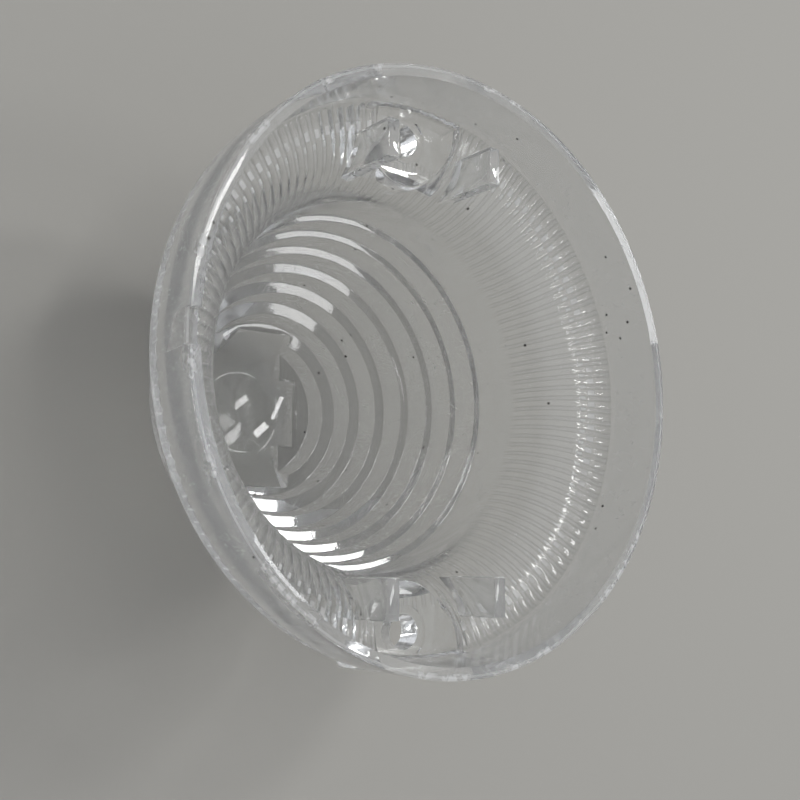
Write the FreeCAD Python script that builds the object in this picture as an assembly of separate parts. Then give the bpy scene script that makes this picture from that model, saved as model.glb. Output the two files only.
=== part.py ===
"""Clear tail light lens, moulded in one piece.

A round skirt with an open rim runs into a shoulder with radial flutes. The shoulder bends
into a neck, and the neck into a dome whose inside falls in concentric steps. In the bottom of
the dome the steps are cut away down to a smooth bowl, the window.
Two screw lugs with flat pockets and four locating ribs stand on the shoulder.

The axis is Z, the open rim is up and the flat nose rests on Z = 0. The screws lie along Y.
Depths are in millimetres down from the top of the rim.
"""
import FreeCAD, Part
import math
import os

os.makedirs("parts", exist_ok=True)

# Rim and skirt
RIM_DIAMETER = 95.0
RIM_WALL = 1.9
SKIRT_DEPTH = 11.2
DRAFT_INSIDE = 0.9
DRAFT_OUTSIDE = 0.25
SHOULDER_CORNER = 2.8

# Raised lip on one side of the rim, with a notch in its middle
LIP_HEIGHT = 1.0
LIP_SPAN = 110.0
NOTCH_WIDTH = 5.0

# Wall, shoulder and neck
WALL = 2.6
SHOULDER_SLOPE = 17.0
BEND_RADIUS = 14.0
NECK_RADIUS = 31.8
NECK_LENGTH = 7.2
NECK_DRAFT = 0.1

# Radial flutes on the inside of the shoulder
FLUTE_COUNT = 120
FLUTE_DEPTH = 0.32
FLUTE_LEDGE = 0.1
BEND_SECTIONS = 7

# Stepped dome: the corners of the steps lie on one arc in the section through the axis
STEP_COUNT = 7
STEP_ARC = 59.0
STEP_ARC_OFFSET = 26.4
STEP_ARC_DEPTH = 21.2
FIRST_STEP_ANGLE = 16.6
STEP_ANGLE = 5.17
FIRST_RISER_DRAFT = 2.0
RISER_DRAFT_GROWTH = 1.8

# Outside of the dome
DOME_START_DEPTH = 27.0
NOSE_RADIUS = 9.5
NOSE_WALL = 2.3
NOSE_CORNER = 6.0

# Window in the bottom of the dome: a cross-shaped outline cut through the steps to a bowl
BOWL_RADIUS = 24.0
BOWL_DEPTH = 4.9
WINDOW_HALF_HEIGHT = 15.25
WINDOW_RIGHT = 6.15
TONGUE_RIGHT = 9.4
TONGUE_HALF_HEIGHT = 6.6
WINDOW_LEFT = 12.0
WINDOW_LEFT_CORNER = 5.5
WINDOW_CLEARANCE = 3.0

# Screw lugs
SCREW_SPACING = 82.0
SCREW_HOLE = 5.6
POCKET_RADIUS = 8.3
POCKET_DEPTH = 15.5
SPOT_RADIUS = 4.2
SPOT_DEPTH = 0.4
LUG_FLOOR = 4.6
LUG_WALL = 2.6
LUG_CLEARANCE = 0.05

# Locating ribs beside the pockets
RIB_OFFSET = 10.6
RIB_THICKNESS = 2.3
RIB_INNER = 32.3
RIB_WIDTH = 6.4
RIB_TOP_DEPTH = 4.6

OUTER_RADIUS = RIM_DIAMETER / 2
INNER_RADIUS = OUTER_RADIUS - RIM_WALL
SKIRT_END_INSIDE = INNER_RADIUS - DRAFT_INSIDE
SKIRT_END_OUTSIDE = OUTER_RADIUS - DRAFT_OUTSIDE
SLOPE = math.radians(SHOULDER_SLOPE)
BEND_CENTRE = NECK_RADIUS + BEND_RADIUS
BEND_START = BEND_CENTRE - BEND_RADIUS * math.sin(SLOPE)
BEND_START_DEPTH = SKIRT_DEPTH + (SKIRT_END_INSIDE - BEND_START) * math.tan(SLOPE)
BEND_DEPTH = BEND_START_DEPTH + BEND_RADIUS * math.cos(SLOPE)
NECK_END_DEPTH = BEND_DEPTH + NECK_LENGTH
LUG_END_DEPTH = POCKET_DEPTH + LUG_FLOOR
OVERRUN = 5.0


def step_corner(number):
    """Radius and depth of one step's lower outer corner."""
    angle = math.radians(FIRST_STEP_ANGLE + STEP_ANGLE * number)
    return (STEP_ARC * math.cos(angle) - STEP_ARC_OFFSET,
            STEP_ARC * math.sin(angle) + STEP_ARC_DEPTH)


FLOOR_DEPTH = step_corner(STEP_COUNT - 1)[1]
HEIGHT = FLOOR_DEPTH + BOWL_DEPTH + NOSE_WALL


def in_section(point):
    """The 3D point for a radius and a depth in the section through the axis."""
    radius, depth = point
    return FreeCAD.Vector(radius, 0, HEIGHT - depth)


def polyline(points):
    """Straight edges through points of the section."""
    ends = [in_section(point) for point in points]
    return [Part.makeLine(start, end) for start, end in zip(ends, ends[1:])]


def arc(start, middle, end):
    """One arc edge through three points of the section."""
    return Part.Arc(in_section(start), in_section(middle), in_section(end)).toShape()


def turned(edges):
    """A solid of revolution about Z from a closed row of edges."""
    face = Part.Face(Part.Wire(edges))
    return face.revolve(FreeCAD.Vector(0, 0, 0), FreeCAD.Vector(0, 0, 1), 360)


def around(centre, radius, angle):
    """A point at an angle below the horizontal, on a circle in the section."""
    return centre[0] + radius * math.cos(angle), centre[1] + radius * math.sin(angle)


def bend_point(slope, radius):
    """Where the bend has a given slope, for the inside or the outside radius of the wall."""
    return BEND_CENTRE - radius * math.sin(slope), BEND_DEPTH - radius * math.cos(slope)


def outer_form():
    """The lens without its hollow: skirt, shoulder, neck and dome."""
    quarter = math.pi / 2
    outside_bend = BEND_RADIUS - WALL
    bend_start = bend_point(SLOPE, outside_bend)
    bend_middle = bend_point((SLOPE + quarter) / 2, outside_bend)
    bend_end = bend_point(quarter, outside_bend)

    # The skirt's lower corner is an arc that touches the skirt and the shoulder.
    corner_x = SKIRT_END_OUTSIDE - SHOULDER_CORNER
    shoulder_at_corner = bend_start[1] - (corner_x - bend_start[0]) * math.tan(SLOPE)
    corner = (corner_x, shoulder_at_corner - SHOULDER_CORNER / math.cos(SLOPE))
    skirt_end = around(corner, SHOULDER_CORNER, 0)
    corner_middle = around(corner, SHOULDER_CORNER, (quarter - SLOPE) / 2)
    corner_end = around(corner, SHOULDER_CORNER, quarter - SLOPE)

    # The dome's arc leaves the neck upright and ends in the small round of the nose's edge.
    drop = HEIGHT - DOME_START_DEPTH
    inset = bend_end[0] - NOSE_RADIUS
    dome_radius = (drop ** 2 + inset ** 2) / (2 * inset)
    dome = (bend_end[0] - dome_radius, DOME_START_DEPTH)
    nose_angle = math.asin((drop - NOSE_CORNER) / (dome_radius - NOSE_CORNER))
    nose = around(dome, dome_radius - NOSE_CORNER, nose_angle)
    dome_start = around(dome, dome_radius, 0)
    dome_middle = around(dome, dome_radius, nose_angle / 2)
    dome_end = around(dome, dome_radius, nose_angle)
    nose_middle = around(nose, NOSE_CORNER, (nose_angle + quarter) / 2)
    nose_end = around(nose, NOSE_CORNER, quarter)

    edges = polyline([(0, 0), (OUTER_RADIUS, 0), skirt_end])
    edges.append(arc(skirt_end, corner_middle, corner_end))
    edges += polyline([corner_end, bend_start])
    edges.append(arc(bend_start, bend_middle, bend_end))
    edges += polyline([bend_end, dome_start])
    edges.append(arc(dome_start, dome_middle, dome_end))
    edges.append(arc(dome_end, nose_middle, nose_end))
    edges += polyline([nose_end, (0, HEIGHT), (0, 0)])
    return turned(edges)


def skirt_hollow():
    """The open space inside the skirt, run out above the rim."""
    mouth = INNER_RADIUS + DRAFT_INSIDE * OVERRUN / SKIRT_DEPTH
    return turned(polyline([(0, -OVERRUN), (mouth, -OVERRUN), (SKIRT_END_INSIDE, SKIRT_DEPTH),
                            (0, SKIRT_DEPTH), (0, -OVERRUN)]))


def fluted_ring(ridge, groove, depth):
    """A closed ring of straight flanks between ridges and grooves, at one depth."""
    points = []
    for number in range(2 * FLUTE_COUNT):
        angle = math.pi * number / FLUTE_COUNT
        radius = groove if number % 2 else ridge
        points.append(FreeCAD.Vector(radius * math.cos(angle), radius * math.sin(angle), HEIGHT - depth))
    return Part.makePolygon(points + points[:1])


def fluted_hollow():
    """The space inside the shoulder: fluted rings down the slope and round the bend."""
    top_groove = SKIRT_END_INSIDE - FLUTE_LEDGE
    top_ridge = top_groove - FLUTE_DEPTH / math.sin(SLOPE) / 2
    rings = [fluted_ring(top_ridge, top_groove, SKIRT_DEPTH)]
    for number in range(BEND_SECTIONS):
        slope = SLOPE + (math.pi / 2 - SLOPE) * number / (BEND_SECTIONS - 1)
        ridge, depth = bend_point(slope, BEND_RADIUS)
        rings.append(fluted_ring(ridge, ridge + FLUTE_DEPTH / math.sin(slope), depth))
    return Part.makeLoft(rings, True, True)


def stepped_hollow():
    """The space inside the neck and the dome, down the steps to the floor."""
    top_radius = NECK_RADIUS - FLUTE_LEDGE
    points = [(0, BEND_DEPTH), (top_radius, BEND_DEPTH), (top_radius - NECK_DRAFT, NECK_END_DEPTH)]
    depth_above = NECK_END_DEPTH
    for number in range(STEP_COUNT):
        radius, depth = step_corner(number)
        draft = math.radians(FIRST_RISER_DRAFT + RISER_DRAFT_GROWTH * number)
        points.append((radius + (depth - depth_above) * math.tan(draft), depth_above))
        points.append((radius, depth))
        depth_above = depth
    points += [(0, FLOOR_DEPTH), (0, BEND_DEPTH)]
    return turned(polyline(points))


def window_bowl():
    """The room over the window: its outline, from above the last step but one down to the bowl."""
    upper = [(-WINDOW_LEFT_CORNER, WINDOW_HALF_HEIGHT),
             (WINDOW_RIGHT, WINDOW_HALF_HEIGHT),
             (WINDOW_RIGHT, TONGUE_HALF_HEIGHT),
             (TONGUE_RIGHT, TONGUE_HALF_HEIGHT)]
    lower = [(x, -y) for x, y in reversed(upper)]
    left = [(-WINDOW_LEFT, -TONGUE_HALF_HEIGHT), (-WINDOW_LEFT, TONGUE_HALF_HEIGHT)]
    points = [FreeCAD.Vector(x, y, 0) for x, y in upper + lower + left]
    face = Part.Face(Part.makePolygon(points + points[:1]))
    top_depth = step_corner(STEP_COUNT - 2)[1] - WINDOW_CLEARANCE
    column = face.extrude(FreeCAD.Vector(0, 0, HEIGHT - top_depth))
    return column.common(Part.makeSphere(BOWL_RADIUS, FreeCAD.Vector(0, 0, NOSE_WALL + BOWL_RADIUS)))


def screw_cylinder(radius, side, top_depth, bottom_depth):
    """A cylinder about one screw's axis, between two depths."""
    foot = FreeCAD.Vector(0, side * SCREW_SPACING / 2, HEIGHT - bottom_depth)
    return Part.makeCylinder(radius, bottom_depth - top_depth, foot)


def lug(side):
    """One solid lug below the shoulder, flush with the outside of the skirt."""
    inside_skirt = Part.makeCylinder(SKIRT_END_OUTSIDE - LUG_CLEARANCE, HEIGHT)
    block = screw_cylinder(POCKET_RADIUS + LUG_WALL, side, SKIRT_DEPTH / 2, LUG_END_DEPTH)
    return block.common(inside_skirt)


def pocket(side):
    """One flat-bottomed pocket inside, with its spot face, as far out as the skirt's wall."""
    top_depth = SKIRT_DEPTH - FLUTE_LEDGE
    run_out = Part.makeBox(2 * POCKET_RADIUS, OUTER_RADIUS, POCKET_DEPTH - top_depth,
                           FreeCAD.Vector(-POCKET_RADIUS, SCREW_SPACING / 2, HEIGHT - POCKET_DEPTH))
    if side < 0:
        run_out.rotate(FreeCAD.Vector(0, 0, 0), FreeCAD.Vector(0, 0, 1), 180)
    round_end = screw_cylinder(POCKET_RADIUS, side, top_depth, POCKET_DEPTH)
    spot = screw_cylinder(SPOT_RADIUS, side, top_depth, POCKET_DEPTH + SPOT_DEPTH)
    wall_limit = SKIRT_END_INSIDE - DRAFT_INSIDE * (POCKET_DEPTH / SKIRT_DEPTH - 1)
    return round_end.fuse([run_out, spot]).common(Part.makeCylinder(wall_limit, HEIGHT))


def rib(side_x, side_y):
    """One flat rib beside a pocket, from below the shoulder's surface up to its top."""
    low_x = side_x * RIB_OFFSET - RIB_THICKNESS / 2
    low_y = side_y * (RIB_INNER + RIB_WIDTH / 2) - RIB_WIDTH / 2
    return Part.makeBox(RIB_THICKNESS, RIB_WIDTH, LUG_END_DEPTH - RIB_TOP_DEPTH,
                        FreeCAD.Vector(low_x, low_y, HEIGHT - LUG_END_DEPTH))


def rim_cut():
    """What the rim loses so that the lip stands proud, with its notch."""
    reach = 2 * OUTER_RADIUS
    corner_y = reach * math.tan(math.radians(LIP_SPAN / 2))
    points = [FreeCAD.Vector(0, 0, 0), FreeCAD.Vector(-reach, corner_y, 0),
              FreeCAD.Vector(-reach, -corner_y, 0)]
    wedge = Part.Face(Part.makePolygon(points + points[:1])).extrude(FreeCAD.Vector(0, 0, OVERRUN))
    notch = Part.makeBox(reach, NOTCH_WIDTH, OVERRUN, FreeCAD.Vector(-reach, -NOTCH_WIDTH / 2, 0))
    cut = Part.makeCylinder(reach, OVERRUN).cut(wedge).fuse(notch)
    cut.translate(FreeCAD.Vector(0, 0, HEIGHT - LIP_HEIGHT))
    return cut


def make_lens():
    """The whole lens as one solid."""
    sides = (1, -1)
    hollow = skirt_hollow().fuse([fluted_hollow(), stepped_hollow(), window_bowl()])
    landings = [screw_cylinder(POCKET_RADIUS, side, POCKET_DEPTH, LUG_END_DEPTH) for side in sides]
    hollow = hollow.cut(landings).fuse([pocket(side) for side in sides])
    hollow = hollow.cut([rib(side_x, side_y) for side_x in sides for side_y in sides])
    holes = [screw_cylinder(SCREW_HOLE / 2, side, 0, HEIGHT) for side in sides]
    body = outer_form().fuse([lug(side) for side in sides])
    return body.cut([hollow] + holes).cut(rim_cut())


lens = make_lens().Solids[0]
print("valid", lens.isValid(), "volume in mm3", round(lens.Volume, 1), "height in mm", round(HEIGHT, 2))
lens.exportStep("parts/lens.step")
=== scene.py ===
"""The looks of a clear tail light lens: its moulded form in fine detail, clear plastic, floor and light.

Sizes are in millimetres. Depths run down from the top of the rim, as they do on the part.
"""
import math
import bmesh
import bpy
from mathutils import Matrix, Vector


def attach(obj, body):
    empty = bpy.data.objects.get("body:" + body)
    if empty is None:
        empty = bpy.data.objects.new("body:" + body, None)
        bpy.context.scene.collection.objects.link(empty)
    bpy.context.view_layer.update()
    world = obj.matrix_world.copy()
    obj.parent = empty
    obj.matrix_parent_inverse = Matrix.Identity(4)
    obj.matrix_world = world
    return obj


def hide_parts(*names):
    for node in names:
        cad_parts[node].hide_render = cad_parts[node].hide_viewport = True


MM = 0.001

# Rim and skirt
RIM_DIAMETER = 95.0
RIM_WALL = 1.9
SKIRT_DEPTH = 11.2
DRAFT_INSIDE = 0.9
DRAFT_OUTSIDE = 0.25
SHOULDER_CORNER = 2.8
SKIRT_FOOT_ROUND = 1.0
RIM_EDGE_ROUND = 0.15

# Raised lip and its notch
LIP_HEIGHT = 1.0
LIP_SPAN = 110.0
NOTCH_WIDTH = 5.0

# Wall, shoulder and neck
WALL = 2.6
SHOULDER_SLOPE = 17.0
BEND_RADIUS = 14.0
NECK_RADIUS = 31.8
NECK_LENGTH = 7.2
NECK_DRAFT = 0.1

# Flutes
FLUTE_COUNT = 120
FLUTE_LEDGE = 0.1
FLUTE_FACETS = 6
FLUTE_DEPTH_AT_FOOT = 0.5
FLUTE_FOOT_ROUND = 0.6

# Stepped dome
STEP_COUNT = 7
STEP_ARC = 59.0
STEP_ARC_OFFSET = 26.4
STEP_ARC_DEPTH = 21.2
FIRST_STEP_ANGLE = 16.6
STEP_ANGLE = 5.17
FIRST_RISER_DRAFT = 2.0
RISER_DRAFT_GROWTH = 1.8
STEP_EDGE_ROUND = 0.22
STEP_FOOT_ROUND = 0.3

# Outside of the dome
DOME_START_DEPTH = 27.0
NOSE_RADIUS = 9.5
NOSE_WALL = 2.3
NOSE_CORNER = 6.0

# Window: a cross-shaped outline cut through the steps to a smooth bowl
BOWL_RADIUS = 24.0
BOWL_DEPTH = 4.9
WINDOW_HALF_HEIGHT = 15.25
WINDOW_RIGHT = 6.15
TONGUE_RIGHT = 9.4
TONGUE_HALF_HEIGHT = 6.6
WINDOW_LEFT = 12.0
WINDOW_LEFT_CORNER = 5.5
WINDOW_CLEARANCE = 3.0
WINDOW_EDGE_ROUND = 0.12

# Screw lugs
SCREW_SPACING = 82.0
SCREW_HOLE = 5.6
POCKET_RADIUS = 8.3
POCKET_DEPTH = 15.5
SPOT_RADIUS = 4.2
SPOT_DEPTH = 0.4
LUG_FLOOR = 4.6
LUG_WALL = 2.6
LUG_CLEARANCE = 0.05

# Locating ribs
RIB_OFFSET = 10.6
RIB_THICKNESS = 2.3
RIB_INNER = 32.3
RIB_WIDTH = 6.4
RIB_TOP_DEPTH = 4.6

# Radii on the flutes and the rim: rings of painted highlight dashes, the foot's painted shade, the rim's
# nicked edge and its fine line
RIDGE_HIGHLIGHT_DASHES = (39.2, 40.0)
GROOVE_HIGHLIGHT_DASHES = (40.8, 41.9)
PAINTED_SHADE_FOOT = (42.0, 43.5)
RIM_EDGE = (46.3, 46.6)
RIM_LINE = (46.85, 47.1)

# Colours
CLEAR = (0.975, 0.98, 0.975, 1)
# The next grey is painted shade for the steps' treads and for the flutes
PAINTED_SHADE_GREY = (0.56, 0.56, 0.55, 1)
MILKY_HAZE_AND_HIGHLIGHT = (0.80, 0.80, 0.79, 1)
DUST = (0.05, 0.045, 0.04, 1)
FLOOR = (0.325, 0.315, 0.29, 1)
LOW_SKY = (0.10, 0.10, 0.10, 1)
HIGH_SKY = (0.78, 0.80, 0.84, 1)

OUTER_RADIUS = RIM_DIAMETER / 2
INNER_RADIUS = OUTER_RADIUS - RIM_WALL
SKIRT_END_INSIDE = INNER_RADIUS - DRAFT_INSIDE
SKIRT_END_OUTSIDE = OUTER_RADIUS - DRAFT_OUTSIDE
SLOPE = math.radians(SHOULDER_SLOPE)
BEND_CENTRE = NECK_RADIUS + BEND_RADIUS
BEND_START = BEND_CENTRE - BEND_RADIUS * math.sin(SLOPE)
BEND_START_DEPTH = SKIRT_DEPTH + (SKIRT_END_INSIDE - BEND_START) * math.tan(SLOPE)
BEND_DEPTH = BEND_START_DEPTH + BEND_RADIUS * math.cos(SLOPE)
NECK_END_DEPTH = BEND_DEPTH + NECK_LENGTH
LUG_END_DEPTH = POCKET_DEPTH + LUG_FLOOR
TURN_STEPS = FLUTE_COUNT * FLUTE_FACETS
OVERRUN = 5.0
FLOOR_SIZE = 3.0
FLOOR_GAP = 0.05
LAMP_DISTANCE = 1.0
LIGHT_BOUNCES = 32
REFRACTION = 1.49
QUARTER = math.pi / 2
SIDES = (1, -1)

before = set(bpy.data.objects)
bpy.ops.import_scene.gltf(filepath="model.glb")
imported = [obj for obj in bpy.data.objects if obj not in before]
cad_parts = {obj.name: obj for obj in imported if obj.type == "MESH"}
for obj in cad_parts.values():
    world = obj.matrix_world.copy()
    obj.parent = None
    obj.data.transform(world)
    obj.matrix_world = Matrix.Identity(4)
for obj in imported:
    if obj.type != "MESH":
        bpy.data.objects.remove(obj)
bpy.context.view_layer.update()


def step_corner(number):
    """Radius and depth of one step's lower outer corner."""
    angle = math.radians(FIRST_STEP_ANGLE + STEP_ANGLE * number)
    return (STEP_ARC * math.cos(angle) - STEP_ARC_OFFSET,
            STEP_ARC * math.sin(angle) + STEP_ARC_DEPTH)


FLOOR_DEPTH = step_corner(STEP_COUNT - 1)[1]
HEIGHT = FLOOR_DEPTH + BOWL_DEPTH + NOSE_WALL


def around(centre, radius, angle):
    """A point at an angle below the horizontal, on a circle in the section."""
    return centre[0] + radius * math.cos(angle), centre[1] + radius * math.sin(angle)


def arc_points(centre, radius, start, end, pieces):
    """Points along an arc in the section."""
    return [around(centre, radius, start + (end - start) * n / pieces) for n in range(pieces + 1)]


def bend_point(slope, radius):
    """Where the bend has a given slope."""
    return BEND_CENTRE - radius * math.sin(slope), BEND_DEPTH - radius * math.cos(slope)


def rounded(before, corner, after, radius, pieces=2):
    """A corner of the section made round, as the points of its small arc."""
    corner_at, towards_start, towards_end = Vector(corner), Vector(before), Vector(after)
    towards_start = (towards_start - corner_at).normalized()
    towards_end = (towards_end - corner_at).normalized()
    half = towards_start.angle(towards_end) / 2
    centre = corner_at + (towards_start + towards_end).normalized() * radius / math.sin(half)
    first = corner_at + towards_start * radius / math.tan(half) - centre
    last = corner_at + towards_end * radius / math.tan(half) - centre
    points = []
    for n in range(pieces + 1):
        share = n / pieces
        turn = first.angle_signed(last)
        points.append(tuple(centre + Matrix.Rotation(-turn * share, 2) @ first))
    return points


def soften(points, roundings):
    """A row of section points with its corners made round, one radius for each inner corner."""
    softened = [points[0]]
    for before, corner, after, radius in zip(points, points[1:], points[2:], roundings):
        softened += rounded(before, corner, after, radius) if radius else [corner]
    return softened + [points[-1]]


def new_piece(name, bm):
    """A linked object from a bmesh."""
    mesh = bpy.data.meshes.new(name)
    bm.to_mesh(mesh)
    bm.free()
    piece = bpy.data.objects.new(name, mesh)
    bpy.context.scene.collection.objects.link(piece)
    return piece


def turned(name, section):
    """A solid spun about the axis from a row of section points that starts and ends on it."""
    bm = bmesh.new()
    row = [bm.verts.new((radius * MM, 0, (HEIGHT - depth) * MM)) for radius, depth in section]
    edges = [bm.edges.new(pair) for pair in zip(row, row[1:])]
    pitch = 2 * math.pi / FLUTE_COUNT
    bmesh.ops.spin(bm, geom=row + edges, cent=(0, 0, 0), axis=(0, 0, 1), angle=pitch, steps=FLUTE_FACETS)
    sector = bm.verts[:] + bm.edges[:] + bm.faces[:]
    bmesh.ops.spin(bm, geom=sector, cent=(0, 0, 0), axis=(0, 0, 1), angle=2 * math.pi - pitch,
                   steps=FLUTE_COUNT - 1, use_duplicate=True)
    bmesh.ops.remove_doubles(bm, verts=bm.verts, dist=MM / 200)
    bmesh.ops.recalc_face_normals(bm, faces=bm.faces)
    return new_piece(name, bm)


def outer_form():
    """The outside: skirt, shoulder, neck and dome."""
    outside_bend = BEND_RADIUS - WALL
    bend_start = bend_point(SLOPE, outside_bend)
    bend_end = bend_point(QUARTER, outside_bend)
    corner_x = SKIRT_END_OUTSIDE - SHOULDER_CORNER
    shoulder_at_corner = bend_start[1] - (corner_x - bend_start[0]) * math.tan(SLOPE)
    corner = (corner_x, shoulder_at_corner - SHOULDER_CORNER / math.cos(SLOPE))
    drop = HEIGHT - DOME_START_DEPTH
    inset = bend_end[0] - NOSE_RADIUS
    dome_radius = (drop ** 2 + inset ** 2) / (2 * inset)
    dome = (bend_end[0] - dome_radius, DOME_START_DEPTH)
    nose_angle = math.asin((drop - NOSE_CORNER) / (dome_radius - NOSE_CORNER))
    nose = around(dome, dome_radius - NOSE_CORNER, nose_angle)
    section = [(0, 0)]
    section += rounded((0, 0), (OUTER_RADIUS, 0), (OUTER_RADIUS, 1), RIM_EDGE_ROUND)
    section += arc_points(corner, SHOULDER_CORNER, 0, QUARTER - SLOPE, 6)
    slopes = [SLOPE + (QUARTER - SLOPE) * n / 12 for n in range(13)]
    section += [bend_point(slope, outside_bend) for slope in slopes]
    section += arc_points(dome, dome_radius, 0, nose_angle, 16)
    section += arc_points(nose, NOSE_CORNER, nose_angle, QUARTER, 4)[1:]
    section += [(0, HEIGHT)]
    return turned("outer_form", section)


def hollow_form():
    """The inside: skirt, fluted shoulder and bend, neck and steps."""
    mouth = INNER_RADIUS + DRAFT_INSIDE * OVERRUN / SKIRT_DEPTH
    skirt_end = (SKIRT_END_INSIDE, SKIRT_DEPTH)
    section = [(0, -OVERRUN), (mouth, -OVERRUN)]
    section += rounded((mouth, -OVERRUN), skirt_end, bend_point(SLOPE, BEND_RADIUS), SKIRT_FOOT_ROUND, 6)
    slopes = [SLOPE + (QUARTER - SLOPE) * n / 20 for n in range(21)]
    section += [bend_point(slope, BEND_RADIUS) for slope in slopes]
    steps = [(NECK_RADIUS, BEND_DEPTH), (NECK_RADIUS - FLUTE_LEDGE - NECK_DRAFT, NECK_END_DEPTH)]
    roundings = [STEP_FOOT_ROUND]
    depth_above = NECK_END_DEPTH
    for number in range(STEP_COUNT):
        radius, depth = step_corner(number)
        draft = math.radians(FIRST_RISER_DRAFT + RISER_DRAFT_GROWTH * number)
        steps.append((radius + (depth - depth_above) * math.tan(draft), depth_above))
        steps.append((radius, depth))
        roundings += [STEP_EDGE_ROUND, STEP_FOOT_ROUND]
        depth_above = depth
    steps.append((0, FLOOR_DEPTH))
    section += soften(steps, roundings)
    hollow = turned("hollow_form", section)
    cut_flutes(hollow)
    return hollow


def cut_flutes(hollow):
    """Pushes the fluted part of the hollow outwards in shallow scallops that meet in ridges."""
    pitch = 2 * math.pi / FLUTE_COUNT
    foot = SKIRT_END_INSIDE + MM
    for vertex in hollow.data.vertices:
        x, y, z = vertex.co
        radius = math.hypot(x, y) / MM
        depth = HEIGHT - z / MM
        if depth > BEND_DEPTH + MM or radius < NECK_RADIUS - MM or depth < SKIRT_DEPTH - SKIRT_FOOT_ROUND:
            continue
        share = (math.atan2(y, x) / pitch) % 1
        scallop = 1 - (2 * share - 1) ** 2
        slope = math.atan2(BEND_CENTRE - radius, BEND_DEPTH - depth) if radius < BEND_START else SLOPE
        fade = min(1, max(0, (foot - radius) / FLUTE_FOOT_ROUND)) ** 0.5
        way_out = min(1, max(0, (radius - NECK_RADIUS) / (SKIRT_END_INSIDE - NECK_RADIUS)))
        push = FLUTE_DEPTH_AT_FOOT * way_out * scallop * fade
        reach = (radius + push * math.sin(slope)) / radius
        vertex.co = (x * reach, y * reach, z - push * math.cos(slope) * MM)


def column(name, radius, top_depth, bottom_depth, y=0.0, top_round=0.0, pieces=96):
    """An upright cylinder between two depths, with its top edge round if asked."""
    bm = bmesh.new()
    bmesh.ops.create_cone(bm, cap_ends=True, segments=pieces, radius1=radius * MM, radius2=radius * MM,
                          depth=(bottom_depth - top_depth) * MM)
    if top_round:
        top = [edge for edge in bm.edges if all(v.co.z > 0 for v in edge.verts)]
        bmesh.ops.bevel(bm, geom=top, offset=top_round * MM, affect="EDGES", segments=4, profile=0.5,
                        material=-1)
    middle = HEIGHT - (top_depth + bottom_depth) / 2
    bmesh.ops.translate(bm, verts=bm.verts, vec=(0, y * MM, middle * MM))
    return new_piece(name, bm)


def block(name, low, high, round_edges=0.0):
    """A box from its lowest to its highest corner, with its edges round if asked."""
    bm = bmesh.new()
    bmesh.ops.create_cube(bm, size=1.0)
    size = [(b - a) * MM for a, b in zip(low, high)]
    middle = [(a + b) / 2 * MM for a, b in zip(low, high)]
    bmesh.ops.scale(bm, verts=bm.verts, vec=size)
    bmesh.ops.translate(bm, verts=bm.verts, vec=middle)
    if round_edges:
        bmesh.ops.bevel(bm, geom=bm.edges, offset=round_edges * MM, affect="EDGES", segments=3, profile=0.5,
                        material=-1)
    return new_piece(name, bm)


def prism(name, outline, top_depth, bottom_depth, side_round=0.0):
    """An upright prism with a given outline, between two depths, with its upright edges round if asked."""
    bm = bmesh.new()
    corners = [bm.verts.new((x * MM, y * MM, (HEIGHT - bottom_depth) * MM)) for x, y in outline]
    face = bm.faces.new(corners)
    raised = bmesh.ops.extrude_face_region(bm, geom=[face])["geom"]
    lift = [item for item in raised if isinstance(item, bmesh.types.BMVert)]
    bmesh.ops.translate(bm, verts=lift, vec=(0, 0, (bottom_depth - top_depth) * MM))
    bmesh.ops.recalc_face_normals(bm, faces=bm.faces)
    if side_round:
        upright = [edge for edge in bm.edges if abs(edge.verts[0].co.z - edge.verts[1].co.z) > MM / 2]
        bmesh.ops.bevel(bm, geom=upright, offset=side_round * MM, affect="EDGES", segments=2, profile=0.5,
                        material=-1)
    return new_piece(name, bm)


def combine(piece, operation, tool):
    """Joins a tool to a piece, cuts it away or keeps what they share, and drops the tool."""
    modifier = piece.modifiers.new("combine", "BOOLEAN")
    modifier.operation = operation
    modifier.solver = "MANIFOLD"
    modifier.object = tool
    shaped = piece.evaluated_get(bpy.context.evaluated_depsgraph_get())
    mesh = bpy.data.meshes.new_from_object(shaped)
    piece.modifiers.clear()
    piece.data = mesh
    bpy.data.objects.remove(tool)
    return piece


def window_bowl():
    """The room over the window: its outline, from above the last step but one down to the bowl."""
    upper = [(-WINDOW_LEFT_CORNER, WINDOW_HALF_HEIGHT),
             (WINDOW_RIGHT, WINDOW_HALF_HEIGHT),
             (WINDOW_RIGHT, TONGUE_HALF_HEIGHT),
             (TONGUE_RIGHT, TONGUE_HALF_HEIGHT)]
    lower = [(x, -y) for x, y in reversed(upper)]
    left = [(-WINDOW_LEFT, -TONGUE_HALF_HEIGHT), (-WINDOW_LEFT, TONGUE_HALF_HEIGHT)]
    top_depth = step_corner(STEP_COUNT - 2)[1] - WINDOW_CLEARANCE
    room = prism("window_bowl", upper + lower + left, top_depth, HEIGHT, WINDOW_EDGE_ROUND)
    bm = bmesh.new()
    bmesh.ops.create_icosphere(bm, subdivisions=7, radius=BOWL_RADIUS * MM)
    bmesh.ops.translate(bm, verts=bm.verts, vec=(0, 0, (NOSE_WALL + BOWL_RADIUS) * MM))
    return combine(room, "INTERSECT", new_piece("bowl", bm))


def together(pieces):
    """Several separate pieces as one."""
    bm = bmesh.new()
    for piece in pieces:
        bm.from_mesh(piece.data)
        bpy.data.objects.remove(piece)
    return new_piece("together", bm)


def both(make):
    """A tool made once for each screw."""
    return together([make(side) for side in SIDES])


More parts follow.
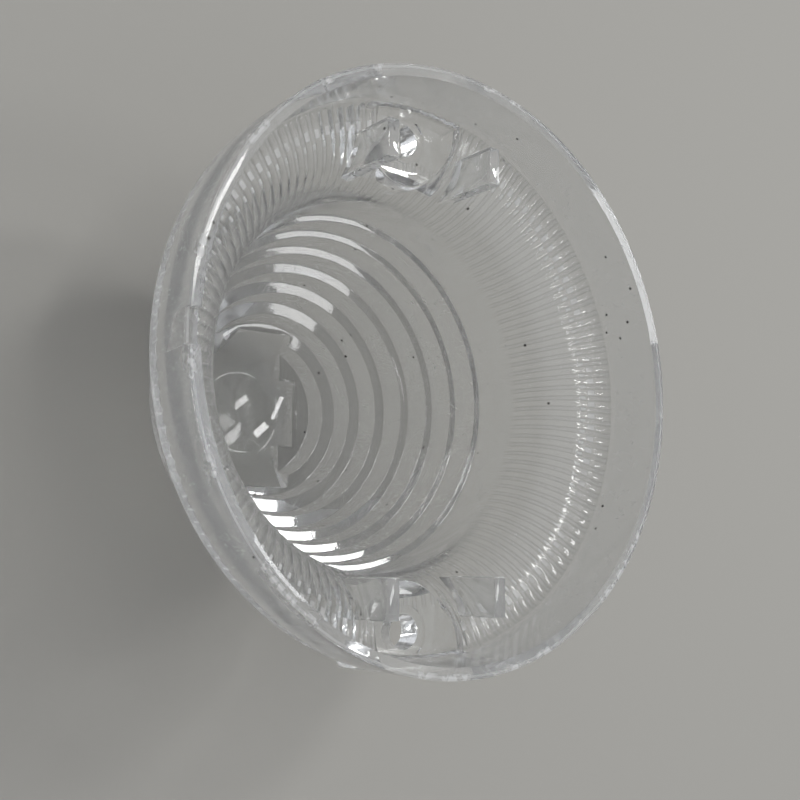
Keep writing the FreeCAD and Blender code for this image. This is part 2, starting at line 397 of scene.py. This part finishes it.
def lug(side):
    """One solid lug below the shoulder, flush with the outside of the skirt."""
    y = side * SCREW_SPACING / 2
    lug_block = column("lug", POCKET_RADIUS + LUG_WALL, SKIRT_DEPTH / 2, LUG_END_DEPTH, y)
    limit = column("limit", SKIRT_END_OUTSIDE - LUG_CLEARANCE, 0, HEIGHT, pieces=TURN_STEPS)
    return combine(lug_block, "INTERSECT", limit)


def pocket(side):
    """One flat-bottomed pocket inside, with its spot face, as far out as the skirt's wall."""
    y = side * SCREW_SPACING / 2
    top_depth = SKIRT_DEPTH - FLUTE_LEDGE
    ends = sorted((y, y + side * OUTER_RADIUS))
    run_out = block("run_out", (-POCKET_RADIUS, ends[0], HEIGHT - POCKET_DEPTH),
                    (POCKET_RADIUS, ends[1], HEIGHT - top_depth))
    room = column("pocket", POCKET_RADIUS, top_depth, POCKET_DEPTH, y)
    combine(room, "UNION", run_out)
    combine(room, "UNION", column("spot", SPOT_RADIUS, top_depth + 1, POCKET_DEPTH + SPOT_DEPTH, y))
    wall_limit = SKIRT_END_INSIDE - DRAFT_INSIDE * (POCKET_DEPTH / SKIRT_DEPTH - 1)
    return combine(room, "INTERSECT", column("limit", wall_limit, 0, HEIGHT, pieces=TURN_STEPS))


def hole(side):
    """One screw hole."""
    return column("hole", SCREW_HOLE / 2, 0, HEIGHT, side * SCREW_SPACING / 2)


def landing_and_ribs(side):
    """The round landing that carries a pocket's inner end, and the ribs beside it."""
    landing = column("landing", POCKET_RADIUS, POCKET_DEPTH, LUG_END_DEPTH, side * SCREW_SPACING / 2, 0.4)
    y = side * (RIB_INNER + RIB_WIDTH / 2)
    ribs = [block("rib", (x - RIB_THICKNESS / 2, y - RIB_WIDTH / 2, HEIGHT - LUG_END_DEPTH),
                  (x + RIB_THICKNESS / 2, y + RIB_WIDTH / 2, HEIGHT - RIB_TOP_DEPTH), 0.25)
            for x in (RIB_OFFSET, -RIB_OFFSET)]
    return together([landing] + ribs)


def rim_cut():
    """What the rim loses so that the lip stands proud, with its notch."""
    reach = 2 * OUTER_RADIUS
    corner_y = reach * math.tan(math.radians(LIP_SPAN / 2))
    cut = column("rim_cut", reach, -OVERRUN, LIP_HEIGHT)
    wedge = prism("wedge", [(0, 0), (-reach, corner_y), (-reach, -corner_y)], -2 * OVERRUN, 2 * LIP_HEIGHT)
    combine(cut, "DIFFERENCE", wedge)
    half_notch = NOTCH_WIDTH / 2
    notch = block("notch", (-reach, -half_notch, HEIGHT - LIP_HEIGHT), (0, half_notch, HEIGHT + 1))
    return combine(cut, "UNION", notch)


def make_lens():
    """The whole lens as one closed mesh."""
    hollow = hollow_form()
    combine(hollow, "UNION", window_bowl())
    combine(hollow, "DIFFERENCE", both(landing_and_ribs))
    combine(hollow, "UNION", both(pocket))
    lens = outer_form()
    combine(lens, "UNION", both(lug))
    combine(lens, "DIFFERENCE", hollow)
    combine(lens, "DIFFERENCE", both(hole))
    combine(lens, "DIFFERENCE", rim_cut())
    lens.name = "clear_lens"
    for polygon in lens.data.polygons:
        polygon.use_smooth = True
    lens.data.set_sharp_from_angle(angle=math.radians(25))
    return lens


class Shade:
    """A socket of a finish, with the operators of plain arithmetic."""

    def __init__(self, finish, socket):
        self.finish = finish
        self.socket = socket

    def maths(self, operation, *values):
        """One Math node on the given values."""
        return self.finish.add("Math", {"operation": operation}, dict(enumerate(values)))

    def __add__(self, other):
        return self.maths("ADD", self, other)

    def __radd__(self, other):
        return self.maths("ADD", other, self)

    def __sub__(self, other):
        return self.maths("SUBTRACT", self, other)

    def __rsub__(self, other):
        return self.maths("SUBTRACT", other, self)

    def __mul__(self, other):
        return self.maths("MULTIPLY", self, other)

    def __rmul__(self, other):
        return self.maths("MULTIPLY", other, self)

    def __truediv__(self, other):
        return self.maths("DIVIDE", self, other)

    def __pow__(self, other):
        return self.maths("POWER", self, other)

    def __abs__(self):
        return self.maths("ABSOLUTE", self)

    def rise(self, low, high, lowest=0.0, highest=1.0):
        """A smooth rise from lowest to highest as the value goes from low to high."""
        values = {"Value": self, "From Min": low, "From Max": high, "To Min": lowest, "To Max": highest}
        return self.finish.add("MapRange", {"interpolation_type": "SMOOTHSTEP"}, values)

    def band(self, low, high, edge=0.1):
        """1 while the value is between two limits, 0 outside them."""
        return self.rise(low - edge, low) * self.rise(high + edge, high)


class Finish:
    """A material or world whose nodes are added by type, settings and socket values."""

    def __init__(self, owner):
        owner.use_nodes = True
        self.tree = owner.node_tree
        self.tree.nodes.clear()

    def add(self, kind, settings, values, output=0):
        """One node: its settings first, then the values or links of its sockets."""
        node = self.tree.nodes.new("ShaderNode" + kind)
        for name, setting in settings.items():
            setattr(node, name, setting)
        for name, value in values.items():
            socket = self.pick(node.inputs, name)
            if isinstance(value, Shade):
                self.tree.links.new(value.socket, socket)
            else:
                socket.default_value = value
        return Shade(self, self.pick(node.outputs, output)) if node.outputs else node

    @staticmethod
    def pick(sockets, name):
        """The socket at a place, or the one in use that has a name."""
        if isinstance(name, int):
            return sockets[name]
        return next(socket for socket in sockets if socket.enabled and socket.name == name)

    def parts(self, vector):
        """The three numbers of a vector."""
        split = self.add("SeparateXYZ", {}, {"Vector": vector})
        return [Shade(self, socket) for socket in split.socket.node.outputs]

    def vector(self, x, y, z):
        """A vector of three numbers."""
        return self.add("CombineXYZ", {}, {"X": x, "Y": y, "Z": z})

    def noise(self, vector, scale, detail=2.0, roughness=0.5):
        """Even noise between 0 and 1."""
        return self.add("TexNoise", {}, {
            "Vector": vector, "Scale": scale, "Detail": detail, "Roughness": roughness})


class Place:
    """Where a point of the plastic is, and whether it is on one of the lens's parts."""

    def __init__(self, finish):
        self.point = finish.add("TexCoord", {}, {}, "Object")
        x, y, z = finish.parts(self.point)
        self.aside = abs(x) / MM
        self.along = abs(y) / MM
        self.radius = (x ** 2 + y ** 2) ** 0.5 / MM
        self.depth = HEIGHT - z / MM
        self.turn = x.maths("ARCTAN2", y, x)
        self.facing_up = finish.parts(finish.add("NewGeometry", {}, {}, "Normal"))[2]
        self.in_dome = (self.depth.rise(NECK_END_DEPTH - 0.5, NECK_END_DEPTH)
                        * self.radius.rise(NECK_RADIUS, NECK_RADIUS - 0.2))

    def riser(self):
        """The steps' upright walls."""
        return self.in_dome * abs(self.facing_up).rise(0.55, 0.35)

    def tread(self):
        """The steps' flat rings."""
        above_window = self.depth.rise(FLOOR_DEPTH + 0.2, FLOOR_DEPTH + 0.1)
        return self.in_dome * self.facing_up.rise(0.9, 0.98) * above_window

    def skirt(self):
        """The skirt, inside and outside."""
        return self.depth.rise(SKIRT_DEPTH + 1, SKIRT_DEPTH - 1)

    def fluted(self):
        """The inside of the shoulder and the bend."""
        from_bend = ((BEND_CENTRE - self.radius) ** 2 + (BEND_DEPTH - self.depth) ** 2) ** 0.5
        on_surface = from_bend.band(BEND_RADIUS - 0.8, BEND_RADIUS + 0.6, 0.3)
        below_skirt = self.depth.band(SKIRT_DEPTH, BEND_DEPTH - 3, 2.0)
        return on_surface * below_skirt * self.radius.rise(SKIRT_END_INSIDE + 0.2, SKIRT_END_INSIDE)

    def rib_end(self):
        """The ribs' upright ends towards the axis."""
        in_rib = self.aside.band(RIB_OFFSET - RIB_THICKNESS / 2, RIB_OFFSET + RIB_THICKNESS / 2)
        at_end = self.along.rise(RIB_INNER + 0.2, RIB_INNER + 0.1)
        return in_rib * at_end * self.depth.rise(POCKET_DEPTH, POCKET_DEPTH - 0.5)

    def rim(self):
        """The outer edge of the rim."""
        return self.depth.rise(LIP_HEIGHT + 1.0, LIP_HEIGHT + 0.2) * self.radius.rise(*RIM_EDGE)

    def rim_line(self):
        """A fine line round the rim's face."""
        return self.radius.band(*RIM_LINE) * self.depth.rise(LIP_HEIGHT + 0.4, LIP_HEIGHT + 0.1)


def flute_highlights_and_shade(place, patches):
    """Painted highlights on the flutes, made milky, and painted shade on them.

    Each ridge has a fine painted highlight line with a painted shade line beside it.
    Two staggered rings of short painted highlight dashes cross them near the skirt, and the foot has
    painted shade.
    """
    across = place.turn * (FLUTE_COUNT / math.tau)
    from_middle = abs(across.maths("FRACT", across) - 0.5)
    # Painted highlight: a fine light line on each ridge; painted shade: a line beside it
    ridge = from_middle.rise(0.38, 0.46)
    shade_beside_ridge = from_middle.band(0.28, 0.36, 0.06)
    # Painted highlights: two staggered rings of short dashes near the skirt
    on_ridges = from_middle.rise(0.3, 0.42) * place.radius.band(*RIDGE_HIGHLIGHT_DASHES)
    between = from_middle.rise(0.3, 0.12) * place.radius.band(*GROOVE_HIGHLIGHT_DASHES, 0.3)
    dashes = (on_ridges + between) * patches.rise(0.3, 0.6, 0.1, 0.7)
    fluted = place.fluted()
    # Painted shade beside the ridges and at the foot
    shade = 0.7 * shade_beside_ridge + 0.5 * place.radius.rise(*PAINTED_SHADE_FOOT)
    return fluted * (0.16 * ridge + dashes), fluted * shade


def fine_scratches(finish, place, patches):
    """Two sets of long thin noise, each cut to its crests and kept in patches."""
    scratches = 0.0
    for angle, low, high in ((0.5, 0.55, 0.62), (2.1, 0.45, 0.38)):
        turned_point = finish.add("VectorRotate", {}, {"Vector": place.point, "Angle": angle})
        drawn_out = finish.add("VectorMath", {"operation": "MULTIPLY"}, {
            0: turned_point, 1: (1.0, 0.03, 0.3)})
        lines = abs(finish.noise(drawn_out, 1500.0, 1.0) - 0.5).rise(0.012, 0.0)
        scratches = lines * patches.rise(low, high) + scratches
    return scratches


def clear_plastic():
    """Clear moulded acrylic with a faint milkiness, streaky risers, fine scratches, nicks and dark specks,
    painted highlights and painted shade on the flutes, and painted shade on the treads.
    """
    material = bpy.data.materials.new("clear_plastic")
    finish = Finish(material)
    place = Place(finish)
    riser = place.riser()

    # Moulding streaks that run down the risers, soft clouds of haze, and patches of wear
    streak_place = finish.vector(place.turn * 40, place.depth * 0.12, place.radius * 0.05)
    streaks = finish.noise(streak_place, 3.0, 3.0, 0.7)
    clouds = finish.noise(place.point, 90.0, 2.0, 0.55)
    fine_clouds = finish.noise(place.point, 900.0, 1.0)
    patches = finish.noise(place.point, 130.0, 1.0)
    nicks = patches.rise(0.56, 0.62) * fine_clouds.rise(0.4, 0.55)
    scratches = fine_scratches(finish, place, patches)
    flute_painted_highlights, flute_painted_shade = flute_highlights_and_shade(place, patches)

    # How much of the plastic is milky: little everywhere, more on the skirt, risers and wear, and on the
    # flutes as painted highlights
    haze_and_painted_highlights = 0.02 + 0.05 * clouds + place.skirt() * (0.05 + 0.06 * fine_clouds)
    haze_and_painted_highlights = haze_and_painted_highlights + riser * streaks.rise(0.35, 0.75, 0.03, 0.14) + flute_painted_highlights
    haze_and_painted_highlights = haze_and_painted_highlights + place.rib_end() * fine_clouds.rise(0.3, 0.6, 0.1, 0.5)
    haze_and_painted_highlights = haze_and_painted_highlights + 0.3 * place.rim_line() + 0.5 * place.rim() * nicks + 0.25 * scratches

    # Dark specks of dust
    cells = finish.add("TexVoronoi", {}, {"Vector": place.point, "Scale": 160.0}, "Distance")
    speck = cells.rise(0.05, 0.032)

    uneven = clouds + 0.15 * fine_clouds
    bump = finish.add("Bump", {}, {"Strength": 0.12, "Distance": 0.2 * MM, "Height": uneven})
    # Painted shade: the treads and the flutes' shade lines and foot are tinted grey
    painted_shade_tint = finish.add("Mix", {"data_type": "RGBA"}, {
        "Factor": place.tread() + flute_painted_shade, "A": CLEAR, "B": PAINTED_SHADE_GREY}, "Result")
    clear = finish.add("BsdfPrincipled", {}, {
        "Base Color": painted_shade_tint, "IOR": REFRACTION, "Transmission Weight": 1.0, "Normal": bump,
        "Roughness": 0.012 + 0.05 * clouds + riser * streaks * 0.25 + scratches * 0.2})
    milky = finish.add("BsdfPrincipled", {}, {"Base Color": MILKY_HAZE_AND_HIGHLIGHT, "Roughness": 0.6, "Normal": bump})
    through = finish.add("BsdfTranslucent", {}, {"Color": MILKY_HAZE_AND_HIGHLIGHT})
    cloudy = finish.add("MixShader", {}, {"Fac": 0.5, 1: milky, 2: through})
    # The milky mix carries the real haze and the flutes' painted highlights
    hazed_and_highlighted = finish.add("MixShader", {}, {"Fac": haze_and_painted_highlights, 1: clear, 2: cloudy})
    dust = finish.add("BsdfPrincipled", {}, {"Base Color": DUST, "Roughness": 0.8})
    dusty = finish.add("MixShader", {}, {"Fac": speck, 1: hazed_and_highlighted, 2: dust})
    finish.add("OutputMaterial", {}, {"Surface": dusty})
    return material


def make_floor():
    """A plain pale floor."""
    bm = bmesh.new()
    bmesh.ops.create_grid(bm, x_segments=1, y_segments=1, size=FLOOR_SIZE)
    bmesh.ops.translate(bm, verts=bm.verts, vec=(0, 0, -FLOOR_GAP * MM))
    floor = new_piece("floor", bm)
    material = bpy.data.materials.new("pale_floor")
    material.use_nodes = True
    shader = material.node_tree.nodes["Principled BSDF"]
    shader.inputs["Base Color"].default_value = FLOOR
    shader.inputs["Roughness"].default_value = 0.9
    shader.inputs["Specular IOR Level"].default_value = 0.2
    floor.data.materials.append(material)


def make_camera():
    """The photo's viewpoint, looking down into the open side from the lip's side."""
    camera = bpy.data.objects.new("camera", bpy.data.cameras.new("camera"))
    right = Vector((0.790687, 0, 0.61222))
    up = Vector((-0.090226, 0.989081, 0.11653))
    back = right.cross(up)
    place = Vector((-113.04, -31.05, HEIGHT + 129.16)) * MM
    camera.matrix_world = Matrix.Translation(place) @ Matrix((right, up, back)).transposed().to_4x4()
    camera.data.lens = 50.97
    camera.data.sensor_width = 36.0
    camera.data.clip_start = 0.01
    bpy.context.scene.collection.objects.link(camera)
    bpy.context.scene.camera = camera


def lamp(name, azimuth, elevation, roll, size, energy):
    """One soft rectangular lamp that looks at the lens from a given direction."""
    light = bpy.data.lights.new(name, "AREA")
    light.shape = "RECTANGLE"
    light.size, light.size_y = size
    light.energy = energy
    turn, rise = math.radians(azimuth), math.radians(elevation)
    level = math.cos(rise)
    place = Vector((level * math.cos(turn), level * math.sin(turn), math.sin(rise))) * LAMP_DISTANCE
    facing = place.to_track_quat("Z", "Y").to_matrix() @ Matrix.Rotation(math.radians(roll), 3, "Z")
    holder = bpy.data.objects.new(name, light)
    holder.matrix_world = Matrix.Translation(place) @ facing.to_4x4()
    bpy.context.scene.collection.objects.link(holder)


def make_light():
    """A soft world, brighter above than near the floor, and soft lamps like windows.

    Each lamp has its azimuth, elevation and roll in degrees, its size in metres and its power in watts.
    """
    world = bpy.data.worlds.new("studio")
    sky = Finish(world)
    height = sky.parts(sky.add("TexCoord", {}, {}, "Generated"))[2]
    colour = sky.add("Mix", {"data_type": "RGBA"}, {
        "Factor": height.rise(0.0, 0.8), "A": LOW_SKY, "B": HIGH_SKY}, "Result")
    background = sky.add("Background", {}, {"Color": colour, "Strength": 1.0})
    sky.add("OutputWorld", {}, {"Surface": background})
    bpy.context.scene.world = world
    lamp("window_lamp", -2, 61, 39, (0.09, 0.26), 0.7)
    lamp("next_window_lamp", 65, 67, -26, (0.10, 0.28), 1.4)
    lamp("roof_lamp", 175, 83, -108, (0.06, 0.40), 1.0)
    lamp("low_window_lamp", 20, 38, 0, (0.16, 0.16), 0.5)
    lamp("side_window_lamp", 26, 50, -35, (0.07, 0.18), 1.4)


lens = make_lens()
lens.data.materials.clear()
lens.data.materials.append(clear_plastic())
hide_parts("lens")
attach(lens, "root")
make_floor()
make_camera()
make_light()
bpy.context.scene.view_settings.view_transform = "Standard"
bpy.context.scene.cycles.max_bounces = LIGHT_BOUNCES
bpy.context.scene.cycles.transmission_bounces = LIGHT_BOUNCES
bpy.context.scene.cycles.glossy_bounces = LIGHT_BOUNCES
bpy.context.scene.cycles.diffuse_bounces = 2
